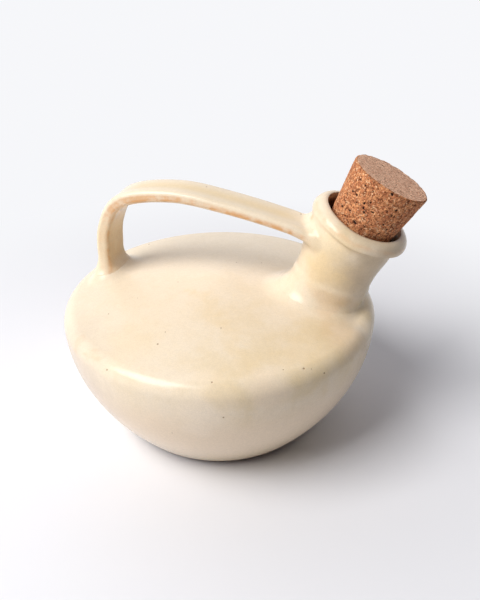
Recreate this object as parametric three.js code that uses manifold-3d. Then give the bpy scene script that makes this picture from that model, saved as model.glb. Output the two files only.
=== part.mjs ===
// A hand-thrown olive oil pot: a round bowl closed by a shallow conical shoulder, a leaning neck
// with a rolled lip, a strap handle from the neck to the far shoulder, and a tapered cork.
// Sizes are millimetres and angles are degrees. +Z is up, and the origin is the centre of the foot.
// +X points from the pot's axis to the neck.
import * as THREE from "three";
import { mergeVertices } from "three/addons/utils/BufferGeometryUtils.js";
import Module from "manifold-3d";

// Bowl and shoulder
const ridgeDiameter = 150;
const ridgeHeight = 58.7;
const ridgeRounding = 7;
const shoulderSlope = 8;
const crownRadius = 60;
const footDiameter = 95.8;
const footWallAngle = 49;
const footRounding = 11.6;
const footCurveReach = 16.3;
const ridgeCurveReach = 25.7;
const wall = 5.5;
const floorThickness = 7;

// Neck and lip
const neckReach = 47.3;
const neckTilt = 23.6;
const neckHeight = 42.7;
const neckBaseDiameter = 36.8;
const neckWaistDiameter = 36.4;
const neckTopDiameter = 41.4;
const lipDiameter = 45.4;
const lipThickness = 6.2;
const lipBeadHeight = 7.3;
const lipUndercut = 36;

// Bore and stopper
const boreDiameter = 28.9;
const boreOffset = new THREE.Vector2(0.8, -0.8);
const seatDepth = 7.8;
const stopperCock = 3.1;
const stopperCockAzimuth = -22;
const stopperLength = 39;
const stopperAboveSeat = 30.5;
const stopperTaper = 0.1175;
const stopperEdge = 0.6;
const stopperClearance = 0.3;

// Clay collar that joins the neck to the shoulder
const collarReach = 4.3;
const collarTopReach = 2.6;
const collarShift = 1.5;
const collarHeight = 9;
const collarRounding = 2;

// Strap handle
const strapWidth = 18;
const strapThickness = 5.1;
const strapFootThickness = 7.2;
const strapThinShare = 0.88;
const strapEdge = 2.3;
const strapFootReach = 64.3;
const strapFootAzimuth = 165.2;
const strapLegReach = 4.2;
const strapLegHeight = 7.9;
const strapKneeReach = 6.5;
const strapKneeHeight = 27.3;
const strapBendReach = 16.6;
const strapBendHeight = 42.3;
const strapShoulderReach = 42.3;
const strapRise = 47.5;
const strapSag = 2.8;
const strapJoinBelowRim = 14.1;
const strapJoinAcross = -3.3;
const strapJoinRise = 3.4;
const strapJoinReach = 10;
const strapFlare = 0.12;
const strapFlareLength = 10;

// The layer of slip left between joined clay pieces, and how far a cut runs past what it cuts
const slipGap = 0.3;
const cutPast = 8;

// Facets
const bodySegments = 64;
const neckSegments = 44;
const strapSteps = 44;
const strapEdgeSteps = 3;

const wasm = await Module();
wasm.setup();

const rad = THREE.MathUtils.degToRad;
const ridgeRadius = ridgeDiameter / 2;
const footRadius = footDiameter / 2;
const boreRadius = boreDiameter / 2;
const lipRadius = lipDiameter / 2;
const lipRounding = lipThickness / 2;

const glaze = new THREE.MeshStandardMaterial({ color: 0xf0dfc4, roughness: 0.4, metalness: 0 });
const corkSurface = new THREE.MeshStandardMaterial({ color: 0xa87350, roughness: 0.95, metalness: 0 });

// Turns +Z to lean by tilt towards azimuth.
function lean(tilt, azimuth) {
  return new THREE.Euler(0, rad(tilt), rad(azimuth), "ZYX");
}

// A geometry becomes a solid that can be joined and cut, seen through a matrix.
function solid(geometry, matrix = new THREE.Matrix4()) {
  const placed = geometry.clone().applyMatrix4(matrix);
  placed.deleteAttribute("normal");
  placed.deleteAttribute("uv");
  const merged = mergeVertices(placed, 1e-4);
  return new wasm.Manifold(
    new wasm.Mesh({
      numProp: 3,
      vertProperties: new Float32Array(merged.attributes.position.array),
      triVerts: new Uint32Array(merged.index.array),
    }),
  );
}

function node(name, body, material) {
  const { vertProperties, triVerts } = body.getMesh();
  const geometry = new THREE.BufferGeometry();
  geometry.setAttribute("position", new THREE.BufferAttribute(vertProperties, 3));
  geometry.setIndex(new THREE.BufferAttribute(triVerts, 1));
  geometry.computeVertexNormals();
  const mesh = new THREE.Mesh(geometry, material.clone());
  mesh.name = name;
  return mesh;
}

// Turns a profile of (radius, height) points about +Z.
function turned(points, segments) {
  return new THREE.LatheGeometry(points, segments).rotateX(Math.PI / 2);
}

// The bowl's side from the foot to just below the ridge, drawn in by inset.
function bowlCurve(inset, bottom) {
  const angle = rad(footWallAngle);
  const start = new THREE.Vector2(footRadius - inset / 2, bottom);
  const end = new THREE.Vector2(ridgeRadius - inset, ridgeHeight - slipGap);
  return new THREE.CubicBezierCurve(
    start,
    new THREE.Vector2(
      footRadius - inset + footCurveReach * Math.cos(angle),
      bottom + footCurveReach * Math.sin(angle),
    ),
    new THREE.Vector2(end.x, end.y - ridgeCurveReach),
    end,
  ).getPoints(10);
}

// The shoulder from the ridge to the crown on the axis, drawn in by inset.
function shoulderCurve(inset) {
  const slope = rad(shoulderSlope);
  const rounding = ridgeRounding - inset;
  const ridge = new THREE.EllipseCurve(
    ridgeRadius - ridgeRounding, ridgeHeight, rounding, rounding, 0, Math.PI / 2 - slope,
  ).getPoints(5);
  const coneEnd = ridge.at(-1);
  const crown = crownRadius - inset;
  const crownEdge = crown * Math.sin(slope);
  const crownEdgeHeight = coneEnd.y + (coneEnd.x - crownEdge) * Math.tan(slope);
  const crownCentre = crownEdgeHeight - crown * Math.cos(slope);
  const top = new THREE.EllipseCurve(
    0, crownCentre, crown, crown, Math.PI / 2 - slope, Math.PI / 2,
  ).getPoints(3);
  return [...ridge, ...top];
}

// Everything inside the pot's outer surface, grown by a clearance.
function bodyEnvelope(clearance) {
  const points = [...bowlCurve(-clearance, 0), ...shoulderCurve(-clearance)];
  return turned([new THREE.Vector2(0, 0), ...points], bodySegments);
}

function shoulderHeightAt(radius) {
  const profile = shoulderCurve(0);
  const inner = profile.findIndex((point) => point.x <= radius);
  const a = profile[inner - 1];
  const b = profile[inner];
  return a.y + ((a.x - radius) / (a.x - b.x)) * (b.y - a.y);
}

function onShoulder(radius, azimuth) {
  const angle = rad(azimuth);
  const height = shoulderHeightAt(radius);
  return new THREE.Vector3(radius * Math.cos(angle), radius * Math.sin(angle), height);
}

const neckFrame = new THREE.Group();
neckFrame.position.copy(onShoulder(neckReach, 0));
neckFrame.rotation.copy(lean(neckTilt, 0));

const stopperFrame = new THREE.Group();
stopperFrame.position.set(boreOffset.x, boreOffset.y, neckHeight - seatDepth);
stopperFrame.rotation.copy(lean(stopperCock, stopperCockAzimuth));
neckFrame.add(stopperFrame);

const pot = new THREE.Group();
pot.name = "olive_oil_pot";
pot.add(neckFrame);
pot.updateMatrixWorld(true);

// The neck's outside, closed at the top by its lip, in the neck's frame, grown by a clearance.
function neckEnvelope(clearance) {
  const outline = new THREE.Path();
  const baseRadius = neckBaseDiameter / 2 + clearance;
  const topRadius = neckTopDiameter / 2 + clearance;
  const beadStart = neckHeight - lipBeadHeight;
  const rounding = lipRounding + clearance;
  const waistPull = neckWaistDiameter - (neckBaseDiameter + neckTopDiameter) / 4 + clearance;
  outline.moveTo(0, -2 * cutPast);
  outline.lineTo(baseRadius, -2 * cutPast);
  outline.lineTo(baseRadius, 0);
  outline.quadraticCurveTo(waistPull, beadStart / 3, topRadius, beadStart);
  outline.absarc(
    lipRadius - lipRounding, neckHeight - lipRounding, rounding, -rad(lipUndercut), Math.PI, false,
  );
  outline.lineTo(0, outline.currentPoint.y);
  return turned(outline.getPoints(6), neckSegments);
}

// The funnel inside the lip, down to the seat, in the neck's frame.
function mouthFunnel() {
  const seat = neckHeight - seatDepth;
  const throat = boreRadius + boreOffset.length();
  const mouth = lipRadius - lipThickness;
  const rim = neckHeight - lipRounding;
  const points = [
    new THREE.Vector2(0, seat),
    new THREE.Vector2(throat, seat),
    new THREE.Vector2(mouth, rim),
    new THREE.Vector2(mouth, neckHeight + cutPast),
    new THREE.Vector2(0, neckHeight + cutPast),
  ];
  return turned(points, neckSegments);
}

// The round passage from the seat down into the bowl, in the stopper's frame.
function boreCut() {
  const length = neckHeight + 4 * cutPast;
  const bore = new THREE.CylinderGeometry(boreRadius, boreRadius, length, neckSegments);
  return bore.rotateX(Math.PI / 2).translate(0, 0, cutPast - length / 2);
}

// The bowl's outside, with its edge rounded under to the flat of the foot.
function bowlOutside() {
  const angle = rad(footWallAngle);
  const flatRadius = footRadius - footRounding * Math.tan(angle / 2);
  const edge = new THREE.EllipseCurve(
    flatRadius, footRounding, footRounding, footRounding, -Math.PI / 2, angle - Math.PI / 2,
  ).getPoints(4);
  const side = bowlCurve(0, 0).filter((point) => point.y > edge.at(-1).y);
  return [...edge, ...side];
}

function baseBowl() {
  const outer = bowlOutside();
  const inner = bowlCurve(wall, floorThickness);
  const points = [
    new THREE.Vector2(0, 0),
    ...outer,
    ...inner.reverse(),
    new THREE.Vector2(0, floorThickness),
  ];
  return node("base_bowl", solid(turned(points, bodySegments)), glaze);
}

function shoulderCap() {
  const points = [...shoulderCurve(0), ...shoulderCurve(wall).reverse()];
  points.push(points[0].clone());
  const cap = solid(turned(points, bodySegments));
  const passage = solid(boreCut(), stopperFrame.matrixWorld);
  return node("shoulder_cap", cap.subtract(passage), glaze);
}

function neck() {
  const toNeck = neckFrame.matrixWorld.clone().invert();
  const body = solid(bodyEnvelope(slipGap), toNeck);
  const tube = solid(neckEnvelope(0))
    .subtract(body)
    .subtract(solid(mouthFunnel()))
    .subtract(solid(boreCut(), stopperFrame.matrix));
  return node("neck", tube, glaze);
}

// A band of clay round the neck's foot. Its rings lie along the shoulder and lean with the neck.
function neckCollar() {
  const baseRadius = neckBaseDiameter / 2;
  const inside = baseRadius - wall;
  const foot = baseRadius + collarReach;
  const top = baseRadius + collarTopReach;
  const outline = new THREE.Path();
  outline.moveTo(inside, -cutPast);
  outline.lineTo(foot, -cutPast);
  outline.lineTo(foot, 0);
  outline.quadraticCurveTo(top, 0, top, collarHeight - collarRounding);
  outline.absarc(
    top - collarRounding, collarHeight - collarRounding, collarRounding, 0, Math.PI / 2, false,
  );
  outline.lineTo(inside, collarHeight);
  outline.closePath();
  const onSlope = new THREE.Object3D();
  onSlope.position.copy(neckFrame.position);
  onSlope.rotation.copy(lean(shoulderSlope, 0));
  onSlope.updateMatrixWorld(true);
  const follow = new THREE.Matrix4().makeShear(0, 0, 0, 0, Math.tan(rad(neckTilt - shoulderSlope)), 0);
  follow.setPosition(collarShift, 0, 0);
  const place = onSlope.matrixWorld.clone().multiply(follow);
  const ring = solid(turned(outline.getPoints(5), neckSegments), place)
    .subtract(solid(bodyEnvelope(slipGap)))
    .subtract(solid(neckEnvelope(slipGap), neckFrame.matrixWorld));
  return node("neck_collar", ring, glaze);
}

// The strap's centre line, in the upright plane from its foot on the shoulder into the neck's wall.
function strapPath() {
  const foot = onShoulder(strapFootReach, strapFootAzimuth);
  const join = new THREE.Vector3(
    -neckBaseDiameter / 2, strapJoinAcross, neckHeight - strapJoinBelowRim,
  );
  join.applyMatrix4(neckFrame.matrixWorld);
  const span = new THREE.Vector3(join.x - foot.x, join.y - foot.y, 0);
  const length = span.length();
  const along = span.normalize();
  const place = (reach, height) =>
    foot.clone().addScaledVector(along, reach).add(new THREE.Vector3(0, 0, height));
  const joinHeight = join.z - foot.z;
  const middle = (strapShoulderReach + length - strapJoinReach) / 2;
  const points = [
    place(0, -cutPast),
    place(strapLegReach, strapLegHeight),
    place(strapKneeReach, strapKneeHeight),
    place(strapBendReach, strapBendHeight),
    place(strapShoulderReach, strapRise),
    place(middle, strapRise - strapSag),
    place(length - strapJoinReach, joinHeight + strapJoinRise),
    place(length, joinHeight),
    place(length + strapJoinReach, joinHeight - strapJoinRise),
  ];
  const side = new THREE.Vector3(-along.y, along.x, 0);
  return { curve: new THREE.CatmullRomCurve3(points, false, "catmullrom", 0.5), side };
}

// Closes a row of rings of points into one body.
function loft(rings) {
  const sides = rings[0].length;
  const positions = rings.flat();
  const index = [];
  const last = rings.length - 1;
  for (let ring = 0; ring < last; ring++) {
    for (let side = 0; side < sides; side++) {
      const next = (side + 1) % sides;
      const a = ring * sides + side;
      const b = ring * sides + next;
      index.push(a, b, b + sides, a, b + sides, a + sides);
    }
  }
  for (let side = 1; side < sides - 1; side++) {
    index.push(0, side + 1, side);
    index.push(last * sides, last * sides + side, last * sides + side + 1);
  }
  return new THREE.BufferGeometry().setFromPoints(positions).setIndex(index);
}

// A rectangle with rounded edges, as points across the strap and through it.
function strapSection(halfWidth, halfThickness) {
  const points = [];
  const corners = [[1, 1], [-1, 1], [-1, -1], [1, -1]];
  corners.forEach(([across, through], quarter) => {
    for (let step = 0; step <= strapEdgeSteps; step++) {
      const angle = ((quarter + step / strapEdgeSteps) * Math.PI) / 2;
      const x = across * (halfWidth - strapEdge) + strapEdge * Math.cos(angle);
      const y = through * (halfThickness - strapEdge) + strapEdge * Math.sin(angle);
      points.push(new THREE.Vector2(x, y));
    }
  });
  return points;
}

// A flat strap, thickest at its foot, that swells a little into both roots.
function strapHandle() {
  const { curve, side } = strapPath();
  const length = curve.getLength();
  const rings = [];
  for (let step = 0; step <= strapSteps; step++) {
    const t = step / strapSteps;
    const centre = curve.getPointAt(t);
    const outward = new THREE.Vector3().crossVectors(curve.getTangentAt(t), side);
    const fromRoot = Math.min(t, 1 - t) * length;
    const swell = 1 + strapFlare * Math.max(0, 1 - fromRoot / strapFlareLength) ** 2;
    const thinning = THREE.MathUtils.smoothstep(t, 0, strapThinShare);
    const thickness = THREE.MathUtils.lerp(strapFootThickness, strapThickness, thinning);
    const section = strapSection((swell * strapWidth) / 2, (swell * thickness) / 2);
    rings.push(section.map((point) =>
      centre.clone().addScaledVector(side, point.x).addScaledVector(outward, point.y)));
  }
  const strap = solid(loft(rings))
    .subtract(solid(bodyEnvelope(slipGap)))
    .subtract(solid(neckEnvelope(slipGap), neckFrame.matrixWorld));
  return node("strap_handle", strap, glaze);
}

function corkStopper() {
  const seatRadius = boreRadius - stopperClearance;
  const top = stopperAboveSeat;
  const bottom = stopperAboveSeat - stopperLength;
  const topRadius = seatRadius + stopperTaper * top;
  const bottomRadius = seatRadius + stopperTaper * bottom;
  const points = [
    new THREE.Vector2(0, bottom),
    new THREE.Vector2(bottomRadius - stopperEdge, bottom),
    new THREE.Vector2(bottomRadius, bottom + stopperEdge),
    new THREE.Vector2(topRadius, top - stopperEdge),
    new THREE.Vector2(topRadius - stopperEdge, top),
    new THREE.Vector2(0, top),
  ];
  return node("cork_stopper", solid(turned(points, neckSegments)), corkSurface);
}

pot.add(baseBowl(), shoulderCap(), neckCollar(), strapHandle());
neckFrame.add(neck());
stopperFrame.add(corkStopper());

export default pot;
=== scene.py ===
"""A hand-thrown olive oil pot in a satin cream glaze, with its pressed-cork stopper.

Lengths in the shape code are millimetres in the part's own frame: +Z is up, +X points from the
pot's axis to the neck, and the origin is the centre of the foot. A pair of numbers given to ramp()
is where a change starts and where it is complete.
"""

import math

import bpy
import numpy as np
from mathutils import Matrix, Vector


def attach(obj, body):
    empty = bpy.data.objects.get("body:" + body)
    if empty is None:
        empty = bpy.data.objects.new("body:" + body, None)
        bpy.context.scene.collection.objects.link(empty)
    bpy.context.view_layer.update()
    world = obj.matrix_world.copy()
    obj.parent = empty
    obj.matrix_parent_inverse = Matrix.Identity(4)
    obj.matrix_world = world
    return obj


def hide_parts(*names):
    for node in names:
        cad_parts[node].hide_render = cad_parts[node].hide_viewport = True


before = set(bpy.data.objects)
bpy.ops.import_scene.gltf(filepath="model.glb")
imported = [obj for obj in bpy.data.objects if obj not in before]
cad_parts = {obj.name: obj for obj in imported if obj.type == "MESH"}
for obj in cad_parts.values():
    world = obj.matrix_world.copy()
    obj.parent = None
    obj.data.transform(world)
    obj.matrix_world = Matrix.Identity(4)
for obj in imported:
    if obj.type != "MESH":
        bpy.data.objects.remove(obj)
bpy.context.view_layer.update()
MM = 0.001

# Bowl and shoulder
RIDGE_RADIUS = 75.0
RIDGE_HEIGHT = 58.7
RIDGE_ROUNDING = 7.0
SHOULDER_SLOPE = math.radians(8)
CROWN_RADIUS = 60.0
FOOT_RADIUS = 47.9
FOOT_WALL_ANGLE = math.radians(49)
FOOT_REACH = 16.3
RIDGE_REACH = 25.7
FOOT_ROUNDING = 11.6
WALL = 5.5
FLOOR = 7.0
CENTRE_RADIUS = 6.0
HOLE_RADIUS = 13.0
HOLE_ENDS = (-60, 10)

# Hollow in the shoulder beside the neck
VALLEY_START = np.array((51.0, -18.5))
VALLEY_END = np.array((69.0, -19.5))
VALLEY_PAST = 1.2
VALLEY_DEPTH = 1.8
VALLEY_WIDTH = 6.3
VALLEY_LEVELS = (59, 64)

# Neck
NECK_REACH = 47.3
NECK_TILT = math.radians(23.6)
NECK_HEIGHT = 42.7
NECK_BASE_RADIUS = 18.4
NECK_PULL_RADIUS = 16.85
NECK_TOP_RADIUS = 20.7
NECK_FRONT = 1.5
NECK_FRONT_BAND = (11.0, 8.0)
NECK_FRONT_TURN = (-0.2, 1.0)
NECK_NARROW = 2.5
NECK_NARROW_HEIGHT = 34.0
NECK_TOE = 1.0
NECK_TOE_TURN = (-50.0, 26.0)
NECK_TOE_HEIGHTS = (-2, 13)
NECK_FILLET = 3.0
NECK_FILLET_BEHIND = 8.0
NECK_FILLET_POWER = 1.5
NECK_FILLET_TOE = 3.0
NECK_SIDE_HEIGHTS = (-4, 4, 35.8)
NECK_BURIED = 4.6
SKIRT_DEPTH = 7.5
SKIRT_INSET = 5.6

# Lip
BEAD_START = 35.4
LIP_CENTRE = (19.6, 39.1)
LIP_ROUNDING = 2.8
LIP_STRETCH = 1.45
LIP_SLANT = math.radians(50)
LIP_SHIFT = 0.9
LIP_LEAN = 0.05
LIP_TURN = 0.06
LIP_LEFT = 1.5
LIP_FRONT_THIN = 0.3
LIP_UNDERCUT = 0.9
LIP_UNDERCUT_BAND = (35.0, 3.0)
LIP_UNDERCUT_TURN = (-0.95, -0.65)
LIP_FILLET = 0.8
LIP_ARC = (-38, 112)
LIP_WORN = 0.3
LIP_WORN_ARC = (5, 26)
# Painted shade down the inner side of the lip, where it turns into the mouth
LIP_SHADE = 0.35
LIP_SHADE_ARC = (92, 112)

# Band of clay round the neck's foot
COLLAR_PROUD = 0.28
COLLAR_TOP = 12.2
COLLAR_LEAN = 2.5
COLLAR_EDGE = 2.0
COLLAR_FILLET = 2.0
COLLAR_FADE = 0.6
COLLAR_HIDDEN = 3
COLLAR_BURIED_RADIUS = 13.8
COLLAR_INNER_RADIUS = 13.2

# Bore and stopper
BORE_RADIUS = 14.45
BORE_FLARE = 0.35
BORE_FLARE_DEPTH = 0.6
BORE_STEP = 2.6
BORE_STEP_DEPTHS = (10, 22)
BORE_DEPTHS = np.concatenate([[0.15, 0.6, 1.5], np.linspace(4, 38, 10)])
THROAT_FLARE = 1.13
THROAT_DEPTH = 7.8
# Rows of the funnel over which the painted shade inside the mouth becomes full
THROAT_SHADE_ROWS = 4
SEAT_CENTRE = np.array((62.005, -0.8, 100.337))
STOPPER_AXIS = np.array((0.445711, -0.020258, 0.894948))
STOPPER_LENGTH = 39.0
STOPPER_ABOVE_SEAT = 30.5
STOPPER_TAPER = 0.1175
STOPPER_CLEARANCE = 0.3

# Strap handle
STRAP_WIDTH = 18.0
STRAP_THICKNESS = 5.1
STRAP_FOOT_THICKNESS = 7.2
STRAP_EDGE = 2.3
STRAP_FOOT_EDGE = 3.6
STRAP_EDGE_LENGTHS = (10, 26)
STRAP_EDGE_SPARE = 0.05
STRAP_THIN = 0.88
STRAP_FLARE = 0.12
STRAP_FLARE_LENGTH = 10.0
STRAP_FOOT_REACH = 64.3
STRAP_FOOT_AZIMUTH = math.radians(165.2)
STRAP_POINTS = [(2, -8), (4.2, 7.9), (6.5, 27.3), (16.6, 42.3), (42.3, 47.5)]
STRAP_SAG = 2.8
STRAP_JOIN_HEIGHT = 28.6
STRAP_JOIN_ACROSS = -3.3
STRAP_JOIN_RISE = 3.4
STRAP_JOIN_REACH = 10.0
STRAP_GROOVE = 0.35
STRAP_GROOVE_SHARE = 0.45
STRAP_FOOT_FILLET = (1.2, 11.5)
STRAP_FOOT_FILLET_AHEAD = (-6, 1)
FRONT_FILLET = 0.7
FRONT_FILLET_ACROSS = (3, 9)
FRONT_FILLET_AHEAD = (-9, -1)
STRAP_NECK_FILLET = (4.2, 4.5)
STRAP_NECK_FILLET_RISE = (-3, 3)
STRAP_NECK_FILLET_PAST = (2, 9)
STRAP_LEAST_FILLET = 1
STRAP_START = 4.5
STRAP_END_DEPTH = 2.4
STRAP_END_SEARCH = 26
STRAP_CORNERS = 0.62

# Glaze on the strap: wear by the tilt of the surface in degrees, and strength on top and on the leg. The
# tan on the inner faces and the olive on the leg are partly painted shade
LEG_LENGTHS = (34, 50)
SIDE_WEAR_TILT = (-14, 22)
SIDE_WEAR = (1.15, 0.4)
CORNER_WEAR_TILT = (-48, 17)
CORNER_WEAR = (0.55, 1.15)
INNER_TILT = (50, 75)
INNER_WEAR_AND_SHADE = (0.25, 0.3)
WEAR_FROM_FOOT = (2, 14)
WEAR_FROM_NECK = (7, 14)
POOL = 0.85
POOL_ACROSS = (-0.5, 4.2)
POOL_FROM_FOOT = (52, 64)
POOL_FROM_NECK = (12, 26)
LEG_POOL_AND_SHADE = (0.35, 0.6)
LEG_POOL_AND_SHADE_FROM_FOOT = (8, 22)

# Cork
CORK_RIM = 0.5
CORK_CENTRES = (1, 0.5)
CORK_LUMPS = 2.6
CORK_FINE = 0.9
CORK_CHIPS = 2.2
CORK_CHIP_LEVELS = (0.52, 0.77)
CORK_CHIP_DEPTH = 0.35
CORK_CHIP_REACH = 1.1
CORK_CHIP_FAR = 9
CORK_SIDE_ROUGH = (0.16, 0.2)
CORK_END_ROUGH = (0.06, 0.09)
CORK_SMOOTH_BELOW = 1.5

# Pores on the cork's side, top and bottom: how many, smallest and largest radius, and depth
CORK_PITS = ((420, 0.2, 0.62, 0.7), (60, 0.2, 0.4, 0.3), (60, 0.3, 0.7, 0.5))
PIT_SEED = 11
PIT_SIZE_POWER = 2.5
PIT_STRETCH = (1.0, 1.9)
PIT_SIDE_MARGIN = 0.8
PIT_END_MARGIN = 1.2
PIT_EDGE = (0.45, 1.2)
PIT_REACH = 1.5

# Rows and segments of the meshes
BODY_SEGMENTS = 400
NECK_SEGMENTS = 200
STRAP_SEGMENTS = 72
CORK_SEGMENTS = 288
HOLE_SEGMENTS = 96
FOOT_ROWS = 12
BOWL_ROWS = 80
BOWL_INNER_ROWS = 16
BOWL_FLOOR_ROWS = 8
SHOULDER_ROWS = (16, 78, 8)
SHOULDER_INNER_ROWS = (5, 10, 3)
NECK_ROWS = (12, 60)
LIP_ROWS = 26
FUNNEL_ROWS = 11
COLLAR_ROWS = 60
COLLAR_SKIP = 4
STRAP_ROWS = 250
CORK_ROWS = (28, 100, 46)
ROW_GAP = 0.3
SHARP = math.radians(50)

# How the sheets are laid on the blended surface: how far the body, collar, neck and strap run on
# under one another, how deep they go, and each ray's start, end and number of looks
OVERLAP = (0.0, 0.9, 0.3, 1.2)
BURY_MOST = 3.5
BURIED = 0.6
SHOULDER_RAY = (-5.0, 9.0, 26)
NECK_RAY = (11.0, 36.0, 20)
LIP_RAY = (0.4, 6.0, 20)
COLLAR_RAY = (10.0, 36.0, 20)
STRAP_RAY = (0.5, 16.0, 20)
RAY_HALVINGS = 11
NEAR_NECK = 46
NEAR_STRAP_FOOT = 30
NEAR_STRAP = 18
NEAR_STRAP_ACROSS = 24
ON_SURFACE = 0.02
PROBE = 0.05
STRAP_PROBE = 0.6
STRAP_STEPS = 200
STRAP_PLACES = 90
STRAP_NEARINGS = 3
STRAP_END_TRIES = 80
FAR = 60.0


def unit(v):
    return v / np.linalg.norm(v, axis=-1, keepdims=True)


def smooth(x):
    x = np.clip(x, 0, 1)
    return x * x * (3 - 2 * x)


def ramp(x, start, end):
    """0 up to the start, 1 from the end on, and a smooth rise between."""
    return smooth((x - start) / (end - start))


def mix(a, b, share):
    """From a at share 0 to b at share 1."""
    return a + (b - a) * share


def bell(x, middle, reach):
    """1 at the middle, falling away on both sides."""
    return np.exp(-((x - middle) / reach) ** 2)


# The shoulder's outline, from the ridge in to the axis
CONE_START = np.array((
    RIDGE_RADIUS - RIDGE_ROUNDING + RIDGE_ROUNDING * math.sin(SHOULDER_SLOPE),
    RIDGE_HEIGHT + RIDGE_ROUNDING * math.cos(SHOULDER_SLOPE),
))


def shoulder_height(radius):
    return CONE_START[1] + (CONE_START[0] - radius) * math.tan(SHOULDER_SLOPE)


CROWN_CENTRE = shoulder_height(CROWN_RADIUS * math.sin(SHOULDER_SLOPE))
CROWN_CENTRE -= CROWN_RADIUS * math.cos(SHOULDER_SLOPE)
NECK_ORIGIN = np.array((NECK_REACH, 0, shoulder_height(NECK_REACH)))
NECK_X = np.array((math.cos(NECK_TILT), 0, -math.sin(NECK_TILT)))
NECK_Z = np.array((math.sin(NECK_TILT), 0, math.cos(NECK_TILT)))
SLOPE_X = np.array((math.cos(SHOULDER_SLOPE), 0, -math.sin(SHOULDER_SLOPE)))
SLOPE_Z = np.array((math.sin(SHOULDER_SLOPE), 0, math.cos(SHOULDER_SLOPE)))
AXIS_Y = np.array((0.0, 1.0, 0.0))
AXIS_Z = np.array((0.0, 0.0, 1.0))
STOPPER_X = unit(np.cross(AXIS_Y, STOPPER_AXIS))
STOPPER_Y = np.cross(STOPPER_AXIS, STOPPER_X)


# Distances from the pot's clay forms, in mm, negative inside

def join(a, b, r):
    """The union of two forms with a fillet of radius r between them."""
    return np.maximum(r, np.minimum(a, b)) - np.hypot(np.maximum(r - a, 0), np.maximum(r - b, 0))


def valley(p):
    """How far the shoulder is pressed in beside the neck, where its foot was smoothed on."""
    run = VALLEY_END - VALLEY_START
    q = p[:, :2] - VALLEY_START
    share = np.clip(q @ run / (run @ run), 0, VALLEY_PAST)
    away = np.linalg.norm(q - share[:, None] * run, axis=1)
    return VALLEY_DEPTH * smooth(share) * bell(away, 0, VALLEY_WIDTH) * ramp(p[:, 2], *VALLEY_LEVELS)


def body_gap(p):
    radius, z = np.hypot(p[:, 0], p[:, 1]), p[:, 2]
    dr, dz = radius - (RIDGE_RADIUS - RIDGE_ROUNDING), z - RIDGE_HEIGHT
    cone = (radius - CONE_START[0]) * math.sin(SHOULDER_SLOPE)
    cone = cone + (z - CONE_START[1]) * math.cos(SHOULDER_SLOPE)
    gap = np.maximum(cone, radius - RIDGE_RADIUS)
    on_ridge = (dr > 0) & (dz > 0) & (dz * math.sin(SHOULDER_SLOPE) < dr * math.cos(SHOULDER_SLOPE))
    gap = np.where(on_ridge, np.hypot(dr, dz) - RIDGE_ROUNDING, gap)
    rise = z - CROWN_CENTRE
    on_crown = radius < rise * math.tan(SHOULDER_SLOPE)
    return np.where(on_crown, np.hypot(radius, rise) - CROWN_RADIUS, gap)


def neck_radius(s):
    t = np.sqrt(1 + 3 * np.clip(s / BEAD_START, 0, 1)) - 1
    lower, upper = (1 - t) ** 2 * NECK_BASE_RADIUS, t * t * NECK_TOP_RADIUS
    return lower + 2 * (1 - t) * t * NECK_PULL_RADIUS + upper


def neck_place(p):
    """Place across the neck, height along it, radius, and a turn from 1 in front to -1 behind."""
    q = p - NECK_ORIGIN
    x, y, s = q @ NECK_X, q[:, 1], q @ NECK_Z
    radius = np.hypot(x, y)
    return x, y, s, radius, x / np.maximum(radius, 1e-6)


def near_toe(x, y):
    """1 where the neck's foot is pressed out, falling away round the neck."""
    return bell(np.degrees(np.arctan2(y, x)), *NECK_TOE_TURN)


def lip_rise(x, y):
    """How far the lip stands above its lowest place round the mouth."""
    left = smooth(-x / LIP_CENTRE[0])
    return LIP_LEAN * (x + LIP_CENTRE[0]) + LIP_TURN * y + LIP_LEFT * left


def neck_forms(p):
    """Distances from the neck with its lip, and from the band round its foot."""
    x, y, s, radius, turn = neck_place(p)
    front = ramp(turn, *NECK_FRONT_TURN)
    full = NECK_FRONT * front * bell(s, *NECK_FRONT_BAND)
    narrow = NECK_NARROW * (1 - front) * (1 - smooth(s / NECK_NARROW_HEIGHT))
    toe = NECK_TOE * near_toe(x, y) * (1 - ramp(s, *NECK_TOE_HEIGHTS))
    side = radius - neck_radius(s) - full + narrow - toe
    rise, thin = lip_rise(x, y), LIP_FRONT_THIN * smooth(-y / LIP_CENTRE[0])
    undercut = LIP_UNDERCUT * ramp(turn, *LIP_UNDERCUT_TURN)
    side = side + undercut * bell(s - rise, *LIP_UNDERCUT_BAND)
    over = s - LIP_CENTRE[1] - rise
    out = np.hypot(x - LIP_SHIFT, y) - LIP_CENTRE[0]
    along = (out * math.cos(LIP_SLANT) - over * math.sin(LIP_SLANT)) / LIP_STRETCH
    bead = np.hypot(along, out * math.sin(LIP_SLANT) + over * math.cos(LIP_SLANT)) - LIP_ROUNDING + thin
    proud = COLLAR_PROUD * (1 - smooth(-turn / COLLAR_FADE))
    collar = -join(proud - side, COLLAR_TOP + COLLAR_LEAN * turn - s, COLLAR_EDGE)
    return join(np.maximum(side, over), bead, LIP_FILLET), collar


def neck_fillet(p):
    """The fillet at the neck's foot: widest on the handle's side, and wider at the toe than in front."""
    x, y, _s, _radius, turn = neck_place(p)
    away = (1 - turn) / 2
    return NECK_FILLET + NECK_FILLET_BEHIND * away ** NECK_FILLET_POWER + NECK_FILLET_TOE * near_toe(x, y)


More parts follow.
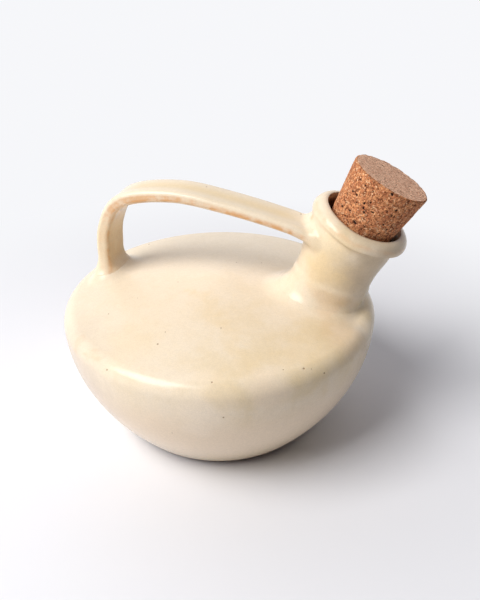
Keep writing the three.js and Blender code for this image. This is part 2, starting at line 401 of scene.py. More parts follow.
def strap_curve():
    """The strap's foot, its level direction and span, and its middle line in its upright plane."""
    angle = STRAP_FOOT_AZIMUTH
    flat = STRAP_FOOT_REACH * np.array((math.cos(angle), math.sin(angle), 0))
    foot = flat + np.array((0, 0, shoulder_height(STRAP_FOOT_REACH)))
    joint = (
        NECK_ORIGIN - NECK_BASE_RADIUS * NECK_X + STRAP_JOIN_ACROSS * AXIS_Y
        + STRAP_JOIN_HEIGHT * NECK_Z
    )
    span = joint - foot
    span[2] = 0
    length = np.linalg.norm(span)
    along = span / length
    height = joint[2] - foot[2]
    shoulder_reach, rise = STRAP_POINTS[-1]
    middle = (shoulder_reach + length - STRAP_JOIN_REACH) / 2
    places = STRAP_POINTS + [
        (middle, rise - STRAP_SAG),
        (length - STRAP_JOIN_REACH, height + STRAP_JOIN_RISE),
        (length, height),
        (length + STRAP_JOIN_REACH, height - STRAP_JOIN_RISE),
    ]
    p = np.array(places, float)
    ends = np.concatenate([[2 * p[0] - p[1]], p, [2 * p[-1] - p[-2]]])
    t = np.linspace(0, 1, STRAP_STEPS, endpoint=False)[:, None]
    rows = []
    for i in range(1, len(ends) - 2):
        a, b, c, d = ends[i - 1:i + 3]
        rows.append(
            0.5 * (2 * b + (c - a) * t + (2 * a - 5 * b + 4 * c - d) * t * t
                   + (3 * b - a - 3 * c + d) * t ** 3)
        )
    return foot, along, length, np.concatenate(rows + [p[-1:]])


STRAP_FOOT, STRAP_ALONG, STRAP_SPAN, STRAP_LINE = strap_curve()
STRAP_SIDE = np.array((-STRAP_ALONG[1], STRAP_ALONG[0], 0))
STRAP_AT = np.concatenate([[0], np.cumsum(np.linalg.norm(np.diff(STRAP_LINE, axis=0), axis=1))])
STRAP_LENGTH = STRAP_AT[-1]


def strap_point(s):
    return np.stack([np.interp(s, STRAP_AT, STRAP_LINE[:, k]) for k in (0, 1)], -1)


def strap_at(s):
    """Centre, tangent and outward normal of the strap in its upright plane, at a length s."""
    t = unit(strap_point(s + STRAP_PROBE) - strap_point(s - STRAP_PROBE))
    return strap_point(s), t, np.stack([-t[:, 1], t[:, 0]], -1)


def strap_size(s):
    """Half the width and half the thickness of the strap at a length s."""
    t = s / STRAP_LENGTH
    from_root = np.minimum(t, 1 - t) * STRAP_LENGTH
    swell = 1 + STRAP_FLARE * np.maximum(0, 1 - from_root / STRAP_FLARE_LENGTH) ** 2
    thickness = mix(STRAP_FOOT_THICKNESS, STRAP_THICKNESS, smooth(t / STRAP_THIN))
    return STRAP_WIDTH / 2 * swell, thickness / 2 * swell


def strap_section_gap(across, out, s):
    half_width, half_depth = strap_size(s)
    groove = STRAP_GROOVE * bell(across, 0, STRAP_GROOVE_SHARE * half_width)
    out = out + np.where(out > 0, groove, 0) * smooth(out / half_depth)
    edge = mix(STRAP_FOOT_EDGE, STRAP_EDGE, ramp(s, *STRAP_EDGE_LENGTHS))
    edge = np.minimum(edge, half_depth - STRAP_EDGE_SPARE)
    qx, qy = np.abs(across) - half_width + edge, np.abs(out) - half_depth + edge
    return (
        np.hypot(np.maximum(qx, 0), np.maximum(qy, 0)) + np.minimum(np.maximum(qx, qy), 0) - edge
    )


def strap_flat(p):
    """Place in the strap's upright plane, and distance to the side of it."""
    q = p - STRAP_FOOT
    return np.stack([q @ STRAP_ALONG, q[:, 2]], -1), q @ STRAP_SIDE


STRAP_SAMPLES = np.linspace(0, STRAP_LENGTH, STRAP_PLACES)
STRAP_SAMPLE_POINTS = strap_point(STRAP_SAMPLES)


def strap_gap(p):
    flat, across = strap_flat(p)
    gap = np.full(len(p), FAR)
    squares = (flat ** 2).sum(1)[:, None] - 2 * flat @ STRAP_SAMPLE_POINTS.T
    squares = squares + (STRAP_SAMPLE_POINTS ** 2).sum(1)
    near = (squares.min(1) < NEAR_STRAP ** 2) & (np.abs(across) < NEAR_STRAP_ACROSS)
    near = np.flatnonzero(near)
    s = STRAP_SAMPLES[squares[near].argmin(1)]
    for _ in range(STRAP_NEARINGS):
        c, t, _n = strap_at(s)
        s = np.clip(s + ((flat[near] - c) * t).sum(1), 0, STRAP_LENGTH)
    c, t, n = strap_at(s)
    ahead = ((flat[near] - c) * t).sum(1)
    past_end = np.where(s >= STRAP_LENGTH, ahead, np.where(s <= 0, -ahead, -FAR))
    section = strap_section_gap(across[near], ((flat[near] - c) * n).sum(1), s)
    gap[near] = np.maximum(section, past_end)
    return gap


def strap_fillet(p):
    """Tight outside the handle's foot and wide inside it. At the neck, a little tighter below."""
    ahead, across = (p - STRAP_FOOT) @ STRAP_ALONG, (p - STRAP_FOOT) @ STRAP_SIDE
    front = FRONT_FILLET * ramp(-across, *FRONT_FILLET_ACROSS)
    front = front * ramp(ahead, *FRONT_FILLET_AHEAD)
    foot = mix(*STRAP_FOOT_FILLET, np.maximum(ramp(ahead, *STRAP_FOOT_FILLET_AHEAD), front))
    rise = (p - NECK_ORIGIN) @ NECK_Z - STRAP_JOIN_HEIGHT
    joint = mix(*STRAP_NECK_FILLET, ramp(rise, *STRAP_NECK_FILLET_RISE))
    joint = mix(joint, STRAP_LEAST_FILLET, ramp(ahead - STRAP_SPAN, *STRAP_NECK_FILLET_PAST))
    return np.where(p[:, 0] < 0, foot, joint)


BODY, COLLAR, NECK, STRAP, WHOLE = range(5)


def clay(p):
    """Distances from the body, collar, neck and strap, and from the pot's whole blended surface."""
    body, (neck, collar), strap = body_gap(p) + valley(p), neck_forms(p), strap_gap(p)
    foot = join(neck, collar, COLLAR_FILLET)
    whole = join(body, foot, neck_fillet(p))
    return body, collar, neck, strap, join(whole, strap, strap_fillet(p))


def settle(origin, direction, own, low, high, samples):
    """How far each point moves along its ray to the pot's blended surface. Where another form's
    surface is the nearer one, the point goes under it. Where there is no surface, it is NaN."""
    others = [k for k in (BODY, COLLAR, NECK, STRAP) if k != own]

    def depth(points):
        gaps = clay(points)
        rest = np.minimum.reduce([gaps[k] for k in others])
        return gaps[WHOLE] + np.clip(gaps[own] - rest - OVERLAP[own], 0, BURY_MOST)

    at = np.linspace(low, high, samples)
    first = np.full(len(origin), -1)
    before = depth(origin + low * direction)
    for k in range(1, samples):
        now = depth(origin + at[k] * direction)
        crossed = (first < 0) & (before < 0) & (now >= 0)
        first[crossed] = k
        before = now
    found = first > 0
    a = np.where(found, at[np.maximum(first - 1, 0)], 0.0)
    b = np.where(found, at[np.maximum(first, 0)], 0.0)
    for _ in range(RAY_HALVINGS):
        middle = (a + b) / 2
        inside = depth(origin + middle[:, None] * direction) < 0
        a, b = np.where(inside, middle, a), np.where(inside, b, middle)
    return np.where(found, (a + b) / 2, np.nan)


def sheet_of_rays(centres, directions, own, ray, fallback):
    """Rows of rays settled on the pot's surface, with a reach to fall back on."""
    centres, directions = np.broadcast_arrays(centres, directions)
    shape = directions.shape
    reach = settle(centres.reshape(-1, 3), directions.reshape(-1, 3), own, *ray).reshape(shape[:2])
    return centres + np.where(np.isnan(reach), fallback, reach)[..., None] * directions


# Meshes from rows of points

def grid_faces(rows, segments, closed=False):
    """Quads between rows of points, each row a ring."""
    faces = []
    j = np.arange(segments)
    for i in range(rows if closed else rows - 1):
        a = i * segments
        b = ((i + 1) % rows) * segments
        faces.append(np.stack([a + j, a + (j + 1) % segments, b + (j + 1) % segments, b + j], -1))
    return np.concatenate(faces).tolist()


def capped(rings, start, end):
    """Rows of ring points closed at both ends by a fan about a point."""
    rows, segments = rings.shape[:2]
    points = np.concatenate([rings.reshape(-1, 3), [start, end]])
    faces = grid_faces(rows, segments)
    last, a, b = (rows - 1) * segments, rows * segments, rows * segments + 1
    for j in range(segments):
        k = (j + 1) % segments
        faces.append((a, k, j))
        faces.append((b, last + j, last + k))
    return points, faces


def mesh_object(name, points, faces):
    mesh = bpy.data.meshes.new(name)
    mesh.from_pydata(np.asarray(points).tolist(), [], faces)
    obj = bpy.data.objects.new(name, mesh)
    bpy.context.scene.collection.objects.link(obj)
    return obj


def piece(name, points, faces, node, body, material):
    obj = mesh_object(name, np.asarray(points) * MM, faces)
    obj.data.validate()
    obj.data.shade_smooth()
    obj.data.set_sharp_from_angle(angle=SHARP)
    obj.data.materials.append(material)
    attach(obj, body)
    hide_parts(node)
    return obj


def attribute(obj, name, values):
    data = obj.data.attributes.new(name, "FLOAT", "POINT")
    data.data.foreach_set("value", np.asarray(values, np.float32).reshape(-1))


def ring_angles(segments):
    angle = np.linspace(0, 2 * math.pi, segments, endpoint=False)
    return np.cos(angle)[:, None], np.sin(angle)[:, None]


def turned(profile, segments):
    """Rows of (radius, height) turned about +Z."""
    c, s = ring_angles(segments)
    return np.stack([
        profile[:, :1] * c.T, profile[:, :1] * s.T, np.repeat(profile[:, 1:], segments, 1),
    ], -1)


def flat_rows(start, end, count, height):
    return np.stack([np.linspace(start, end, count), np.full(count, float(height))], -1)


def bezier(a, b, c, d, n):
    t = np.linspace(0, 1, n)[:, None]
    a, b, c, d = (np.array(q, float) for q in (a, b, c, d))
    return (1 - t) ** 3 * a + 3 * (1 - t) ** 2 * t * b + 3 * (1 - t) * t * t * c + t ** 3 * d


def bowl_curve(inset, bottom, n):
    return bezier(
        (FOOT_RADIUS - inset / 2, bottom),
        (FOOT_RADIUS - inset + FOOT_REACH * math.cos(FOOT_WALL_ANGLE),
         bottom + FOOT_REACH * math.sin(FOOT_WALL_ANGLE)),
        (RIDGE_RADIUS - inset, RIDGE_HEIGHT - RIDGE_REACH),
        (RIDGE_RADIUS - inset, RIDGE_HEIGHT), n,
    )


def shoulder_curve(inset, arc_rows, cone_rows, crown_rows):
    """Rows from the ridge in towards the axis, and the point on the axis."""
    rounding = RIDGE_ROUNDING - inset
    angle = np.linspace(0, math.pi / 2 - SHOULDER_SLOPE, arc_rows)
    arc = np.stack([
        RIDGE_RADIUS - RIDGE_ROUNDING + rounding * np.cos(angle),
        RIDGE_HEIGHT + rounding * np.sin(angle),
    ], -1)
    crown = CROWN_RADIUS - inset
    angle = np.linspace(math.pi / 2 - SHOULDER_SLOPE, math.pi / 2, crown_rows + 1)
    top = np.stack([crown * np.cos(angle), CROWN_CENTRE + crown * np.sin(angle)], -1)
    cone = mix(arc[-1], top[0], np.linspace(0, 1, cone_rows + 1)[1:, None])
    return np.concatenate([arc, cone, top[1:-1]]), (0, 0, top[-1, 1])


# The pieces

def base_bowl(material):
    turn = np.linspace(0, FOOT_WALL_ANGLE, FOOT_ROWS)
    contact = FOOT_RADIUS - FOOT_ROUNDING * math.tan(FOOT_WALL_ANGLE / 2)
    edge = np.stack([contact + FOOT_ROUNDING * np.sin(turn), FOOT_ROUNDING * (1 - np.cos(turn))], -1)
    side = bowl_curve(0, 0, BOWL_ROWS)
    side = side[side[:, 1] > edge[-1, 1] + ROW_GAP]
    under = flat_rows(CENTRE_RADIUS, contact, FOOT_ROWS + 1, 0)[:-1]
    inner = bowl_curve(WALL, FLOOR, BOWL_INNER_ROWS)[::-1]
    floor = flat_rows(inner[-1, 0], CENTRE_RADIUS, BOWL_FLOOR_ROWS, FLOOR)[1:]
    rings = turned(np.concatenate([under, edge, side, inner, floor]), BODY_SEGMENTS)
    points, faces = capped(rings, (0, 0, 0), (0, 0, FLOOR))
    return piece("base_bowl_glazed", points, faces, "base_bowl", "pot", material)


def cap_with_hole():
    """Points and faces of the plain shoulder, with the hole under the neck cut out."""
    outer, top = shoulder_curve(0, *SHOULDER_ROWS)
    inner, inner_top = shoulder_curve(WALL, *SHOULDER_INNER_ROWS)
    rings = turned(np.concatenate([outer[::-1], inner]), BODY_SEGMENTS)
    cap = mesh_object("cap", *capped(rings, top, inner_top))
    ends = [SEAT_CENTRE + reach * STOPPER_AXIS for reach in HOLE_ENDS]
    c, s = ring_angles(HOLE_SEGMENTS)
    ring = HOLE_RADIUS * (c * STOPPER_X + s * STOPPER_Y)
    tool = mesh_object("passage", *capped(np.stack([e + ring for e in ends]), *ends))
    cut = cap.modifiers.new("passage", "BOOLEAN")
    cut.operation = "DIFFERENCE"
    cut.solver = "EXACT"
    cut.object = tool
    bpy.context.view_layer.update()
    result = cap.evaluated_get(bpy.context.evaluated_depsgraph_get()).to_mesh()
    points = np.array([v.co for v in result.vertices], float)
    faces = [tuple(f.vertices) for f in result.polygons]
    for helper in (cap, tool):
        bpy.data.objects.remove(helper)
    return points, faces


def shoulder_cap(material):
    points, faces = cap_with_hole()
    on_top = np.abs(body_gap(points)) < ON_SURFACE
    from_foot = points - STRAP_FOOT
    near_neck = np.hypot(points[:, 0] - NECK_REACH, points[:, 1]) < NEAR_NECK
    near_strap = np.hypot(from_foot[:, 0], from_foot[:, 1]) < NEAR_STRAP_FOOT
    pick = np.flatnonzero(on_top & (near_neck | near_strap))
    start = points[pick]
    normal = unit(np.stack([
        body_gap(start + PROBE * e) - body_gap(start - PROBE * e) for e in np.eye(3)
    ], -1))
    rise = settle(start, normal, BODY, *SHOULDER_RAY)
    points[pick] = start + np.nan_to_num(rise, nan=-BURIED)[:, None] * normal
    return piece("shoulder_cap_glazed", points, faces, "shoulder_cap", "pot", material)


def neck(material):
    c, s = ring_angles(NECK_SEGMENTS)
    radial = c * NECK_X + s * AXIS_Y
    bottom, middle, top = NECK_SIDE_HEIGHTS
    heights = np.concatenate([
        np.linspace(bottom, middle, NECK_ROWS[0]), np.linspace(middle, top, NECK_ROWS[1])[1:],
    ])
    centres = NECK_ORIGIN + heights[:, None, None] * NECK_Z
    side = sheet_of_rays(centres, radial, NECK, NECK_RAY, neck_radius(heights)[:, None] - NECK_BURIED)
    degrees = np.linspace(*LIP_ARC, LIP_ROWS)[:, None]
    turn = np.radians(degrees)[..., None]
    rise = lip_rise(LIP_CENTRE[0] * c + LIP_SHIFT, LIP_CENTRE[0] * s)
    circle = NECK_ORIGIN + LIP_CENTRE[0] * radial + (LIP_CENTRE[1] + rise) * NECK_Z + LIP_SHIFT * NECK_X
    out = np.cos(turn) * radial + np.sin(turn) * NECK_Z
    lip = sheet_of_rays(circle, out, NECK, LIP_RAY, LIP_ROUNDING)
    throat = NECK_ORIGIN + (BORE_RADIUS + THROAT_FLARE) * radial + (NECK_HEIGHT - THROAT_DEPTH) * NECK_Z
    funnel = np.stack([mix(lip[-1], throat, k) for k in np.linspace(0, 1, FUNNEL_ROWS)[1:]])
    bore_radii = BORE_RADIUS + BORE_FLARE * np.exp(-BORE_DEPTHS / BORE_FLARE_DEPTH)
    bore_radii = bore_radii - BORE_STEP * ramp(BORE_DEPTHS, *BORE_STEP_DEPTHS)
    bore_out = c * STOPPER_X + s * STOPPER_Y
    bore = np.stack([
        SEAT_CENTRE - depth * STOPPER_AXIS + radius * bore_out
        for depth, radius in zip(BORE_DEPTHS, bore_radii)
    ])
    skirt = NECK_ORIGIN - SKIRT_DEPTH * NECK_Z + (NECK_BASE_RADIUS - SKIRT_INSET) * radial
    rings = np.concatenate([side, lip, funnel, bore, skirt[None]])
    faces = grid_faces(len(rings), NECK_SEGMENTS, closed=True)
    made = piece("neck_glazed", rings.reshape(-1, 3), faces, "neck", "pot", material)
    wear_and_shade, inside = np.zeros(rings.shape[:2]), np.zeros(rings.shape[:2])
    first, last = len(side), len(side) + len(lip)
    wear_and_shade[first:last] = LIP_WORN * bell(degrees, *LIP_WORN_ARC)
    # Painted shade inside the mouth: it deepens down the lip's inner side and is full in the funnel and
    # the bore
    inside[first:last] = LIP_SHADE * ramp(degrees, *LIP_SHADE_ARC)
    down = np.arange(len(rings) - last)[:, None]
    inside[last:] = np.clip(LIP_SHADE + down / THROAT_SHADE_ROWS, 0, 1)
    attribute(made, "wear_and_shade", wear_and_shade)
    attribute(made, "inside", inside)
    return made


def neck_collar(material):
    c, s = ring_angles(NECK_SEGMENTS)
    radial = c * SLOPE_X + s * AXIS_Y
    follow = math.tan(NECK_TILT - SHOULDER_SLOPE)
    heights = np.linspace(-COLLAR_HIDDEN, COLLAR_TOP + COLLAR_HIDDEN, COLLAR_ROWS)
    centres = NECK_ORIGIN + np.stack([z * SLOPE_Z + follow * z * SLOPE_X for z in heights])[:, None, :]
    side = sheet_of_rays(centres, radial, COLLAR, COLLAR_RAY, COLLAR_BURIED_RADIUS)
    inner = centres + COLLAR_INNER_RADIUS * radial
    rings = np.concatenate([side, inner[::-COLLAR_SKIP]])
    faces = grid_faces(len(rings), NECK_SEGMENTS, closed=True)
    return piece(
        "neck_collar_glazed", rings.reshape(-1, 3), faces, "neck_collar", "pot", material)


def strap_section(s):
    """Centres, outward directions and reach of the strap's own outline at rows of lengths."""
    cosine, sine = (v[:, 0] for v in ring_angles(STRAP_SEGMENTS))
    across = np.sign(cosine) * np.abs(cosine) ** STRAP_CORNERS
    through = np.sign(sine) * np.abs(sine) ** STRAP_CORNERS
    c, _t, n = strap_at(s.reshape(-1))
    half_width, half_depth = strap_size(s)
    c, n = c.reshape(*s.shape, 2), n.reshape(*s.shape, 2)
    centre = STRAP_FOOT + c[..., :1] * STRAP_ALONG + c[..., 1:] * AXIS_Z
    normal = n[..., :1] * STRAP_ALONG + n[..., 1:] * AXIS_Z
    x, y = across * half_width, through * half_depth
    reach = np.hypot(x, y)
    return centre, (x[..., None] * STRAP_SIDE + y[..., None] * normal) / reach[..., None], reach


def strap_handle(material):
    tries = np.linspace(STRAP_LENGTH - STRAP_END_SEARCH, STRAP_LENGTH, STRAP_END_TRIES)
    tries = np.repeat(tries[:, None], STRAP_SEGMENTS, 1)
    centre, out, reach = strap_section(tries)
    outline = (centre + reach[..., None] * out).reshape(-1, 3)
    deep = neck_forms(outline)[0].reshape(tries.shape) < -STRAP_END_DEPTH
    ends = np.where(deep.any(0), tries[deep.argmax(0), np.arange(STRAP_SEGMENTS)], STRAP_LENGTH)
    stations = mix(STRAP_START, ends, np.linspace(0, 1, STRAP_ROWS)[:, None])
    centre, out, reach = strap_section(stations)
    rings = sheet_of_rays(centre, out, STRAP, STRAP_RAY, reach - BURIED)
    points, faces = capped(rings, centre[0, 0], rings[-1].mean(0))
    strap = piece("strap_handle_glazed", points, faces, "strap_handle", "pot", material)
    strap_colouring(strap, points, np.append(stations, (STRAP_START, STRAP_LENGTH)))
    return strap


def strap_colouring(strap, points, s):
    """Where the glaze wears to tan on the strap's edges and gathers yellow along its top. The tan on the
    inner faces and the olive over the leg, strongest on its inner face, are partly painted shade.
    """
    flat, across = strap_flat(points)
    c, _t, n = strap_at(s)
    out = ((flat - c) * n).sum(1)
    slope_across = strap_section_gap(across + PROBE, out, s) - strap_section_gap(across - PROBE, out, s)
    slope_out = strap_section_gap(across, out + PROBE, s) - strap_section_gap(across, out - PROBE, s)
    tilt = np.degrees(np.arctan2(slope_out, np.abs(slope_across) + 1e-6))
    to_end = STRAP_LENGTH - s
    on_leg = 1 - ramp(s, *LEG_LENGTHS)
    inner = ramp(-tilt, *INNER_TILT)
    side_wear = bell(tilt, *SIDE_WEAR_TILT) * mix(*SIDE_WEAR, on_leg)
    corner_wear = bell(tilt, *CORNER_WEAR_TILT) * mix(*CORNER_WEAR, on_leg)
    # The tan on the inner faces is partly painted shade, as they face away from the lamp
    wear_and_shade = np.maximum(side_wear, corner_wear) + mix(*INNER_WEAR_AND_SHADE, on_leg) * inner
    wear_and_shade = wear_and_shade * ramp(s - STRAP_START, *WEAR_FROM_FOOT) * ramp(to_end, *WEAR_FROM_NECK)
    attribute(strap, "wear_and_shade", wear_and_shade)
    on_top = bell(across, *POOL_ACROSS) * smooth(out / strap_size(s)[1])
    pool_and_shade = POOL * on_top * ramp(s, *POOL_FROM_FOOT) * ramp(to_end, *POOL_FROM_NECK)
    # The olive over the leg, strongest on its inner face, is partly painted shade
    pool_and_shade = pool_and_shade + mix(*LEG_POOL_AND_SHADE, inner) * on_leg * ramp(s, *LEG_POOL_AND_SHADE_FROM_FOOT)
    attribute(strap, "pool_and_shade", pool_and_shade)


HASH_PRIMES = (73856093, 19349663, 83492791)
HASH_SEED = 2654435761
HASH_ROUNDS = ((13, 1274126177), (15, 73244475))
HASH_TOP = 0x7FFFFFFF


def lattice_noise(p, size, seed):
    """Smooth noise from 0 to 1 whose lumps are about size millimetres across."""
    q = p / size
    cell = np.floor(q).astype(np.int64)
    f = smooth(q - cell)
    total = np.zeros(len(p))
    for corner in np.ndindex(2, 2, 2):
        x, y, z = ((cell + np.array(corner)) * np.array(HASH_PRIMES)).T
        h = x ^ y ^ z ^ (seed * HASH_SEED)
        for shift, factor in HASH_ROUNDS:
            h = ((h ^ (h >> shift)) * factor) & HASH_TOP
        share = np.prod(np.where(np.array(corner), f, 1 - f), 1)
        total += share * h / HASH_TOP
    return total


def cork_pits(local, low, high, seat_radius):
    """How far each point is pushed in by the open pores, and how dark it is there."""
    rng = np.random.default_rng(PIT_SEED)
    push, dark = np.zeros(len(local)), np.zeros(len(local))
    for face, (count, small, large, deep) in enumerate(CORK_PITS):
        for _ in range(count):
            angle, share = rng.uniform(0, 2 * math.pi), rng.uniform(0, 1)
            size = mix(small, large, rng.uniform() ** PIT_SIZE_POWER)
            stretch, turn = rng.uniform(*PIT_STRETCH), rng.uniform(0, math.pi)
            out = np.array((math.cos(angle), math.sin(angle), 0))
            tangent = np.array((-math.sin(angle), math.cos(angle), 0))
            if face == 0:
                z = low + PIT_SIDE_MARGIN + share * (high - low - 2 * PIT_SIDE_MARGIN)
                radius = seat_radius + STOPPER_TAPER * z
                upward, normal = AXIS_Z, out
            else:
                z = high if face == 1 else low
                radius = (seat_radius + STOPPER_TAPER * z - PIT_END_MARGIN) * math.sqrt(share)
                upward, normal = out, AXIS_Z
            q = local - (radius * out + z * AXIS_Z)
            u, v = q @ tangent, q @ upward
            a = (u * math.cos(turn) + v * math.sin(turn)) / stretch
            b = -u * math.sin(turn) + v * math.cos(turn)
            weight = 1 - ramp(np.hypot(a, b) / size, *PIT_EDGE)
            weight = np.where(np.abs(q @ normal) < PIT_REACH, weight, 0)
            push = np.maximum(push, weight * deep * (0.5 + 0.5 * size / large))
            dark = np.maximum(dark, weight)
    return push, dark


def cork_stopper(material):
    seat_radius = BORE_RADIUS - STOPPER_CLEARANCE
    low, high = STOPPER_ABOVE_SEAT - STOPPER_LENGTH, STOPPER_ABOVE_SEAT
    bottom_rows, side_rows, top_rows = CORK_ROWS
    heights = np.linspace(low + CORK_RIM, high - CORK_RIM, side_rows)
    side = np.stack([seat_radius + STOPPER_TAPER * heights, heights], -1)
    bottom = flat_rows(CORK_CENTRES[0], side[0, 0] - CORK_RIM, bottom_rows, low)
    top = flat_rows(side[-1, 0] - CORK_RIM, CORK_CENTRES[1], top_rows, high)
    local = turned(np.concatenate([bottom, side, top]), CORK_SEGMENTS)
    flat = local.reshape(-1, 3)
    row = np.repeat(np.arange(len(local)), CORK_SEGMENTS)
    first_top = bottom_rows + side_rows
    on_side = (row >= bottom_rows) & (row < first_top)
    radial = unit(flat * (1, 1, 0))
    normal = np.where(on_side[:, None], radial, np.where(row[:, None] < bottom_rows, -AXIS_Z, AXIS_Z))
    edge = (row == bottom_rows - 1) | (row == first_top)
    normal[edge] = unit(normal[edge] + radial[edge])
    push, dark = cork_pits(flat, low, high, seat_radius)
    lumps = lattice_noise(flat, CORK_LUMPS, 1) - 0.5
    fine = lattice_noise(flat, CORK_FINE, 2) - 0.5
    chips = ramp(lattice_noise(flat, CORK_CHIPS, 3), *CORK_CHIP_LEVELS)
    from_rim = np.abs(flat[:, 2] - high) + np.abs(np.hypot(flat[:, 0], flat[:, 1]) - side[-1, 0])
    rim = np.exp(-np.minimum(from_rim, CORK_CHIP_FAR) / CORK_CHIP_REACH)
    side_rough, end_rough = (a * lumps + b * fine for a, b in (CORK_SIDE_ROUGH, CORK_END_ROUGH))
    shift = np.where(on_side, side_rough, end_rough) - push - CORK_CHIP_DEPTH * rim * chips
    in_bore = on_side & (flat[:, 2] < CORK_SMOOTH_BELOW)
    shift = np.where(in_bore, np.minimum(shift, 0.0), shift)
    flat = flat + shift[:, None] * normal
    basis = np.stack([STOPPER_X, STOPPER_Y, STOPPER_AXIS])
    rings = (SEAT_CENTRE + flat @ basis).reshape(local.shape)
    points, faces = capped(rings, SEAT_CENTRE + low * STOPPER_AXIS, SEAT_CENTRE + high * STOPPER_AXIS)
    made = piece("cork_stopper_pressed", points, faces, "cork_stopper", "stopper", material)
    attribute(made, "pit", np.append(dark, (0, 0)))
    attribute(made, "top", np.append(row > first_top, (0, 1)))
    return made


# Materials

def add(tree, kind, inputs=None, **settings):
    """A shader node with its settings, and its inputs set or linked."""
    made = tree.nodes.new("ShaderNode" + kind)
    for name, value in settings.items():
        setattr(made, name, value)
    for key, value in (inputs or {}).items():
        if isinstance(value, bpy.types.NodeSocket):
            tree.links.new(value, made.inputs[key])
        elif made.inputs[key].type == "RGBA":
            made.inputs[key].default_value = (*value, 1)
        else:
            made.inputs[key].default_value = value
    return made


def blend(tree, factor, a, b, kind="MIX"):
    mixed = add(tree, "Mix", {0: factor, 6: a, 7: b}, data_type="RGBA", blend_type=kind)
    return mixed.outputs[2]


def sums(tree, operation, a, b, clamp=False):
    return add(tree, "Math", {0: a, 1: b}, operation=operation, use_clamp=clamp).outputs[0]


def vectors(tree, operation, a, b):
    """A vector node's result: a number for a distance or a dot product, or else a vector."""
    made = add(tree, "VectorMath", {0: a, 1: b}, operation=operation)
    return made.outputs["Value" if operation in ("DISTANCE", "DOT_PRODUCT") else "Vector"]


def spread(tree, value, low, high, out_low=0.0, out_high=1.0):
    made = add(tree, "MapRange", {
        "Value": value, "From Min": low, "From Max": high, "To Min": out_low, "To Max": out_high,
    }, interpolation_type="SMOOTHSTEP")
    return made.outputs[0]


def noise(tree, vector, size, detail=3.0, roughness=0.55):
    """Noise whose patches are about size millimetres across."""
    made = add(tree, "TexNoise", {
        "Vector": vector, "Scale": 1 / (size * MM), "Detail": detail, "Roughness": roughness,
    })
    return made.outputs[0]


def cells(tree, vector, size, feature="F1"):
    """Cells about size millimetres across."""
    return add(tree, "TexVoronoi", {"Vector": vector, "Scale": 1 / (size * MM)}, feature=feature).outputs


def bent(tree, place, size, detail, reach):
    """The place pushed about by noise, in patches of a size in mm and by up to half the reach in mm."""
    made = add(tree, "TexNoise", {"Vector": place, "Scale": 1 / (size * MM), "Detail": detail})
    push = vectors(tree, "SUBTRACT", made.outputs["Color"], (0.5, 0.5, 0.5))
    push = add(tree, "VectorMath", {0: push, "Scale": reach * MM}, operation="SCALE").outputs[0]
    return vectors(tree, "ADD", place, push)


def from_point(tree, place, x, y, z):
    """Distance in metres from a point in mm."""
    return vectors(tree, "DISTANCE", place, (x * MM, y * MM, z * MM))


def painted(tree, name):
    """The value of a mesh's own attribute."""
    return add(tree, "Attribute", attribute_name=name).outputs["Fac"]


def tinted(tree, colour, tint):
    grey = add(tree, "CombineColor", {0: tint, 1: tint, 2: tint}).outputs[0]
    return blend(tree, 1.0, colour, grey, "MULTIPLY")


def started(name):
    material = bpy.data.materials.new(name)
    material.use_nodes = True
    tree = material.node_tree
    place = add(tree, "TexCoord").outputs["Object"]
    return material, tree, tree.nodes["Principled BSDF"], place


BUMP_DISTANCE = 0.0006


def finish_shader(tree, shader, colour, roughness, heights):
    """Links the colour and roughness, and a bump from (height, strength) pairs."""
    tree.links.new(colour, shader.inputs["Base Color"])
    tree.links.new(roughness, shader.inputs["Roughness"])
    normal = None
    for height, strength in heights:
        inputs = {"Height": height, "Strength": strength, "Distance": BUMP_DISTANCE}
        if normal:
            inputs["Normal"] = normal
        normal = add(tree, "Bump", inputs).outputs[0]
    tree.links.new(normal, shader.inputs["Normal"])


CREAM = (0.845, 0.725, 0.57)
OCHRE = (0.78, 0.63, 0.415)
OLIVE = (0.80, 0.615, 0.355)
ORANGE = (0.74, 0.50, 0.275)
PINK = (0.85, 0.69, 0.512)
TAN = (0.74, 0.415, 0.195)
# Painted shade inside the mouth, where little light gets in
MOUTH_SHADE = (0.17, 0.075, 0.03)
# Bare clay at the foot, darkened to also paint the contact shade where the pot meets the floor
FOOT_CLAY_AND_SHADE = (0.22, 0.11, 0.05)
PIT = (0.40, 0.26, 0.15)
# Painted light: lightens the bowl's front below the ridge and the shoulder left of the neck
PAINTED_LIGHT = (0.93, 0.80, 0.65)
# Painted shade: dims the bowl's lower side that faces the lamp
BOWL_PAINTED_SHADE = (0.68, 0.565, 0.445)
# Painted shade: darkens the neck's right side, away from the lamp
NECK_PAINTED_SHADE = (0.65, 0.52, 0.36)

